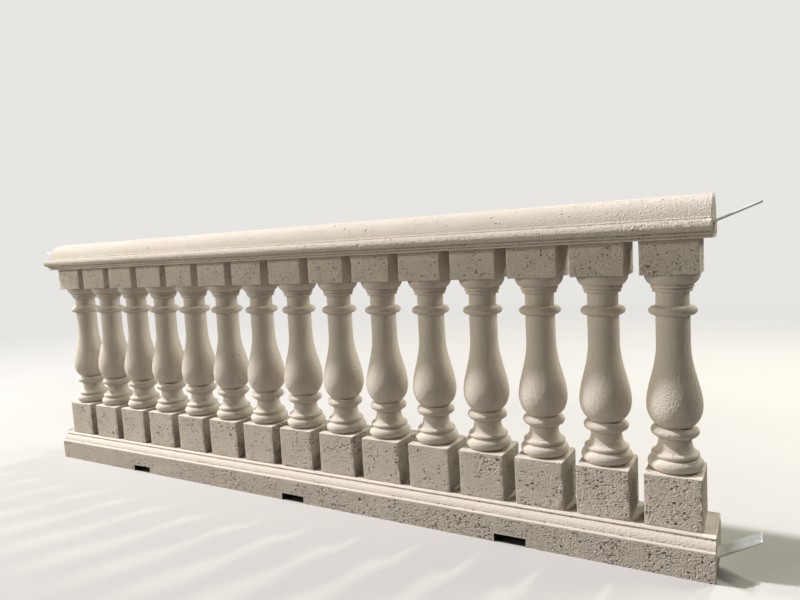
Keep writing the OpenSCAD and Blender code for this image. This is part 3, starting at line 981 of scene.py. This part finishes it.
def stone_material():
    mat, t, sh = nodes_of("cast_stone")
    mat.cycles.use_bump_map_correction = False
    hollow, coarse, edge, seam = (t.attribute(k) for k in ("hollow", "coarse", "edge", "seam"))
    cloud = t.noise(3.2, 4, 0.6, 0.3)
    blotch = t.noise(26, 3, 0.6, 0.4)
    fine = t.noise(420, 2, 0.6)
    warm = t.noise(7.5, 3, 0.5, 0.6)
    base = t.mix(t.span(warm, 0.35, 0.65), (0.755, 0.688, 0.612, 1), (0.772, 0.698, 0.636, 1))
    base = t.mix(t.span(cloud, 0.3, 0.7, 0.0, 0.55), base, (0.798, 0.742, 0.676, 1))
    base = t.mix(t.span(blotch, 0.5, 0.75, 0.0, 0.30), base, (0.680, 0.610, 0.530, 1))
    # painted highlight: the arrises and rounded edges are lighter, in flecks
    base = t.mix(t.times(edge, t.span(fine, 0.3, 0.6, 0.25, 0.6)), base, (0.83, 0.785, 0.725, 1))
    # painted shade: the coarsest faces (chiefly the low blocks and the bottom rail's outer faces) are darker,
    # standing in for the shadow in their rough grain
    base = t.mix(t.span(coarse, 0.85, 1.0), base, (0.80, 0.79, 0.77, 1), "MULTIPLY")
    # open holes from the mould, closer and larger on the coarse faces, in drifts; their dark cores are
    # painted shade
    drift = t.span(t.noise(15, 2, 0.5), 0.36, 0.64, -0.22, 0.20)
    share = t.math("MULTIPLY_ADD", coarse, 0.95, -0.30)
    share = t.math("ADD", share, t.math("MULTIPLY_ADD", edge, -0.45, drift))
    flat = t.vector("MULTIPLY", t.coord, (1.0, 1.0, 1.6))
    stray = t.vector("SUBTRACT", t.tint(160), (0.5, 0.5, 0.5))
    bent = t.vector("ADD", flat, t.vector("MULTIPLY", stray, (0.008, 0.008, 0.008)))
    wide, wide_core = t.pocks(90, t.math("SUBTRACT", share, 0.14), 0.56, bent)
    small, small_core = t.pocks(150, t.math("ADD", share, 0.10), 0.50, bent)
    holes = t.math("MAXIMUM", wide_core, t.times(small_core, 0.3))
    base = t.mix(t.times(holes, 0.85), base, (0.215, 0.168, 0.132, 1))
    # dark line and dots along the grooves: dirt and painted shade in the creases
    dots = t.times(t.span(t.cells(95).outputs["Distance"], 0.40, 0.30), t.span(seam, 0.3, 0.8))
    dots = t.times(dots, t.span(t.noise(30, 1, 0.5), 0.46, 0.54))
    patchy = t.times(seam, t.span(blotch, 0.35, 0.65, 0.30, 0.70))
    base = t.mix(patchy, base, (0.500, 0.390, 0.320, 1))
    base = t.mix(t.times(dots, 0.85), base, (0.250, 0.190, 0.145, 1))
    # painted shade: the mesh pits darken towards their floors, and the slot walls (hollow 2) go near black
    pit_shade = t.mix(t.span(t.noise(30, 2, 0.5), 0.55, 0.68), (0.26, 0.21, 0.165, 1), (0.28, 0.18, 0.13, 1))
    base = t.mix(t.span(hollow, 0.15, 1.0, 0.0, 0.95), base, pit_shade)
    base = t.mix(t.span(hollow, 1.2, 1.9), base, (0.050, 0.042, 0.034, 1))
    t.put(sh.inputs["Base Color"], base)
    t.put(sh.inputs["Roughness"], t.span(fine, 0.2, 0.8, 0.80, 0.96, "LINEAR"))
    sh.inputs["Specular IOR Level"].default_value = 0.28
    lumps, grain = t.noise(125, 1.0, 0.5, 0.0, flat), t.noise(250, 2.0, 0.6)
    height = t.math("MULTIPLY_ADD", lumps, 0.36, t.times(grain, 0.80))
    height = t.math("SUBTRACT", height, t.times(wide, 1.1))
    height = t.math("SUBTRACT", height, t.times(small, 0.80))
    height = t.math("SUBTRACT", height, t.times(dots, 0.4))
    strength = t.math("MULTIPLY_ADD", coarse, 0.68, 0.20)
    strength = t.times(strength, t.span(edge, 0.1, 0.9, 1.0, 0.35))
    t.put(sh.inputs["Normal"], t.bump(height, 0.0100, strength))
    return mat


def steel_material():
    mat, t, sh = nodes_of("galvanised_steel")
    flake = t.cells(95)
    mottle = t.noise(40, 4, 0.6, 0.5)
    scuff = t.noise(260, 2, 0.6, 2.0)
    base = t.mix(t.span(mottle, 0.35, 0.7), (0.60, 0.62, 0.63, 1), (0.74, 0.75, 0.74, 1))
    base = t.mix(t.times(flake.outputs["Color"], 0.22), base, (0.86, 0.87, 0.86, 1))
    base = t.mix(t.span(scuff, 0.60, 0.72, 0.0, 0.5), base, (0.40, 0.39, 0.37, 1))
    t.put(sh.inputs["Base Color"], base)
    sh.inputs["Metallic"].default_value = 0.75
    t.put(sh.inputs["Roughness"], t.span(mottle, 0.3, 0.7, 0.38, 0.56, "LINEAR"))
    t.put(sh.inputs["Normal"], t.bump(t.math("ADD", mottle, t.times(scuff, 0.4)), 0.0005, 0.5))
    return mat


stone, steel = stone_material(), steel_material()
for node in ("bottom_rail", "cap_rail"):
    piece = rail(node == "bottom_rail")
    piece.data.materials.append(stone)
    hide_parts(node)
    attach(piece, "root")
for i in range(COUNT):
    piece = baluster(i + 1, i * PITCH - RUN_HALF)
    piece.data.materials.append(stone)
    node = "baluster_%02d" % (i + 1)
    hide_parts(node)
    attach(piece, "root")
for level, z, tilt, length in (("low", 38, 30.5, 124), ("top", CAP_Z + 43, 21.5, 122)):
    for side, hand in ((-1, "left"), (1, "right")):
        node = level + "_strap_" + hand
        piece = strap("steel_" + node, side, z, tilt, length)
        piece.data.materials.append(steel)
        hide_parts(node)
        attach(piece, "root")

# the camera, solved from the block corners in the photograph
yaw, pitch, roll = -0.524958, -0.085855, -0.056154
fwd = Vector((math.sin(yaw) * math.cos(pitch), math.cos(yaw) * math.cos(pitch), math.sin(pitch)))
right = Vector((math.cos(yaw), -math.sin(yaw), 0.0))
upward = right.cross(fwd)
r = math.cos(roll) * right + math.sin(roll) * upward
u = -math.sin(roll) * right + math.cos(roll) * upward
cam = bpy.data.cameras.new("camera")
cam.sensor_width, cam.lens = 36.0, 28.3075
cam.clip_start, cam.clip_end = 0.05, 100
eye = in_scene("camera", cam)
eye.matrix_world = Matrix((
    (r.x, u.x, -fwd.x, 1.552205),
    (r.y, u.y, -fwd.y, -1.898436),
    (r.z, u.z, -fwd.z, 0.945213),
    (0, 0, 0, 1),
))
bpy.context.scene.camera = eye

# floor: lit and shaded near the object, and fading into the plain background far off
me = bpy.data.meshes.new("floor")
me.from_pydata([(-30, -30, 0), (30, -30, 0), (30, 30, 0), (-30, 30, 0)], [], [(0, 1, 2, 3)])
floor = in_scene("floor", me)
BACKDROP = (0.80, 0.79, 0.77, 1)
mat, t, sh = nodes_of("studio_floor")
tone = t.noise(1.3, 3, 0.5)
shown_ray = t.node("LightPath").outputs["Is Camera Ray"]
bounce = t.mix(tone, (0.195, 0.187, 0.175, 1), (0.210, 0.202, 0.189, 1))
pale = t.mix(tone, (0.565, 0.56, 0.55, 1), (0.60, 0.595, 0.585, 1))
split = t.node("SeparateXYZ", Vector=t.coord)
# the part of the floor that lies under the bottom rail, painted dark as its shadow
along = t.span(t.math("ABSOLUTE", split.outputs[0]), 1.435, 1.425)
across = t.span(t.math("ABSOLUTE", split.outputs[1]), 0.113, 0.103)
under = t.times(along, across)
bounce, pale = (t.mix(under, tint, (0.06, 0.057, 0.052, 1)) for tint in (bounce, pale))
t.put(sh.inputs["Base Color"], t.mix(shown_ray, bounce, pale))
sh.inputs["Roughness"].default_value = 0.9
sh.inputs["Specular IOR Level"].default_value = 0.1
glow = t.node("Emission", Color=BACKDROP)
reach = t.node("VectorMath")
reach.operation = "LENGTH"
t.fed(reach, t.coord)
far_off = t.times(shown_ray, t.span(reach.outputs["Value"], 2.6, 8.0))
blend = t.fed(t.node("MixShader"), far_off, sh.outputs[0], glow.outputs[0])
t.put(t.nt.nodes["Material Output"].inputs[0], blend)
me.materials.append(mat)

# world: soft fill for the object, plain pale tone behind it
world = bpy.data.worlds.new("studio")
bpy.context.scene.world = world
world.use_nodes = True
nt = world.node_tree
nt.nodes.clear()
out, path, pick, fill, shown, seen, more = (
    nt.nodes.new("ShaderNode" + kind)
    for kind in ("OutputWorld", "LightPath", "MixShader", "Background", "Background", "Math", "Math")
)
shown.inputs[0].default_value = BACKDROP
fill.inputs[0].default_value = (1.0, 0.96, 0.86, 1)
fill.inputs[1].default_value = 0.01
seen.operation = more.operation = "MAXIMUM"
for source, target in (
    (path.outputs["Is Camera Ray"], seen.inputs[0]),
    (path.outputs["Is Glossy Ray"], more.inputs[0]),
    (path.outputs["Is Transmission Ray"], more.inputs[1]),
    (more.outputs[0], seen.inputs[1]),
    (seen.outputs[0], pick.inputs[0]),
    (fill.outputs[0], pick.inputs[1]),
    (shown.outputs[0], pick.inputs[2]),
    (pick.outputs[0], out.inputs[0]),
):
    nt.links.new(source, target)

# round lamps that look at the middle of the run
MIDDLE = Vector((0.0, 0.0, 0.6))
for name, place, size, share, colour in (
    ("key_left_high", (-19.6, -3.5, 24.65), 1.7, 1.10, (1.0, 0.97, 0.985)),
    ("low_left", (-13.0, -0.9, 6.5), 1.0, 0.34, (1.0, 0.985, 0.97)),
    ("back_right_high", (2.7, 6.5, 6.5), 0.7, 0.30, (1.0, 0.98, 0.84)),
    ("front_left_high", (-7.5, -9.0, 6.5), 1.0, 0.14, (1.0, 0.94, 0.74)),
    ("soft_front_left", (-5.0, -3.5, 2.5), 2.4, 0.30, (1.0, 0.97, 0.80)),
    ("soft_back_right", (4.0, 2.5, 3.0), 2.0, 0.40, (1.0, 0.98, 0.82)),
):
    aim = MIDDLE - Vector(place)
    data = bpy.data.lights.new(name, "AREA")
    data.shape, data.size, data.color = "DISK", size, colour
    data.energy = share * math.pi**2 * aim.length_squared
    ob = in_scene(name, data)
    ob.location = place
    ob.rotation_euler = aim.to_track_quat("-Z", "Y").to_euler()

bpy.context.scene.view_settings.view_transform = "Standard"
